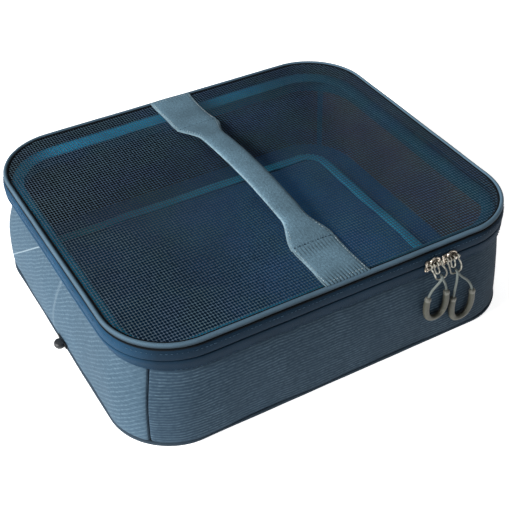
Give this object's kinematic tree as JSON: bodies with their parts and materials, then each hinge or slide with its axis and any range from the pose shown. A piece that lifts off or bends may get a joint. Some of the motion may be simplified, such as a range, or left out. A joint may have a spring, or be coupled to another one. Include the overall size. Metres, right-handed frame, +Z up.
{
  "type": "packing cube",
  "caption": "Shallow padded fabric packing cube with rounded corners, a zipped see-through mesh lid, a webbing carry handle and corded zip pulls.",
  "frame": {"origin": "middle of the base, on the face that the case rests on", "axes": "+X to the right along the long side, +Y to the back where the lid is hinged, +Z up"},
  "size_m": [0.3658, 0.3094, 0.1124],
  "materials": {
    "heathered_shell": "heathered woven polyester",
    "foam": "soft foam",
    "dark_lining": "plain woven lining",
    "board": "thin flexible sheet",
    "dark_binding": "narrow woven tape",
    "teal_binding": "narrow woven tape",
    "navy_tape": "woven zip tape",
    "coil": "moulded nylon coil",
    "mesh": "open knitted mesh",
    "rim_piping": "round piped edge",
    "webbing": "ribbed woven webbing",
    "nickel": "antique nickel",
    "pull_cord": "braided cord",
    "pull_grip": "matt moulded grip",
    "black_webbing": "narrow webbing"
  },
  "bodies": {
    "case": {"front_wall_shell": "heathered_shell", "back_wall_shell": "heathered_shell", "left_wall_shell": "heathered_shell", "right_wall_shell": "heathered_shell", "front_wall_foam": "foam", "back_wall_foam": "foam", "left_wall_foam": "foam", "right_wall_foam": "foam", "front_wall_lining": "dark_lining", "back_wall_lining": "dark_lining", "left_wall_lining": "dark_lining", "right_wall_lining": "dark_lining", "base_piping": "dark_binding", "bottom_panel": "dark_lining", "bottom_board": "board", "floor_lining": "dark_lining", "floor_pad": "foam", "floor_pad_binding": "teal_binding", "wall_seam_binding": "teal_binding", "zipper_tape_lower": "navy_tape", "zipper_coil_lower": "coil", "zipper_end_stops": "coil", "rear_hinge_lower": "navy_tape", "lash_strap": "black_webbing", "lash_tab": "black_webbing"},
    "lid": {"lid_mesh": "mesh", "lid_piping": "rim_piping", "lid_seam_binding": "dark_binding", "zipper_tape_upper": "navy_tape", "zipper_coil_upper": "coil", "rear_hinge_upper": "navy_tape", "handle_front_anchor": "webbing", "handle_rear_anchor": "webbing"},
    "handle": {"handle_grip": "webbing"},
    "left_slider": {"left_slider_body": "nickel", "left_slider_bridge": "nickel"},
    "left_wire": {"left_wire_pull": "nickel"},
    "left_cord": {"left_pull_cord": "pull_cord", "left_pull_grip": "pull_grip"},
    "right_slider": {"right_slider_body": "nickel", "right_slider_bridge": "nickel"},
    "right_wire": {"right_wire_pull": "nickel"},
    "right_cord": {"right_pull_cord": "pull_cord", "right_pull_grip": "pull_grip"}
  },
  "joints": [
    {"name": "lid_hinge", "type": "hinge", "parent": "case", "child": "lid", "pos_m": [0, 0.14995, 0.0842], "axis": [-1, 0, 0], "range_deg": [0, 180]},
    {"name": "handle_lift", "type": "slide", "parent": "lid", "child": "handle", "axis": [0, 0, 1], "range_m": [0, 0.014]},
    {"name": "left_slider_travel", "type": "slide", "parent": "case", "child": "left_slider", "axis": [-1, 0, 0], "range_m": [0, 0.185]},
    {"name": "left_wire_swing", "type": "hinge", "parent": "left_slider", "child": "left_wire", "pos_m": [0.0755, -0.15455, 0.086], "axis": [-1, 0, 0], "range_deg": [0, 120]},
    {"name": "left_cord_swing", "type": "hinge", "parent": "left_wire", "child": "left_cord", "pos_m": [0.0835, -0.15455, 0.069], "axis": [-1, 0, 0], "range_deg": [0, 60]},
    {"name": "right_slider_travel", "type": "slide", "parent": "case", "child": "right_slider", "axis": [1, 0, 0], "range_m": [0, 0.019]},
    {"name": "right_wire_swing", "type": "hinge", "parent": "right_slider", "child": "right_wire", "pos_m": [0.0915, -0.15455, 0.086], "axis": [-1, 0, 0], "range_deg": [0, 120]},
    {"name": "right_cord_swing", "type": "hinge", "parent": "right_wire", "child": "right_cord", "pos_m": [0.0975, -0.15455, 0.069], "axis": [-1, 0, 0], "range_deg": [0, 60]}
  ]
}
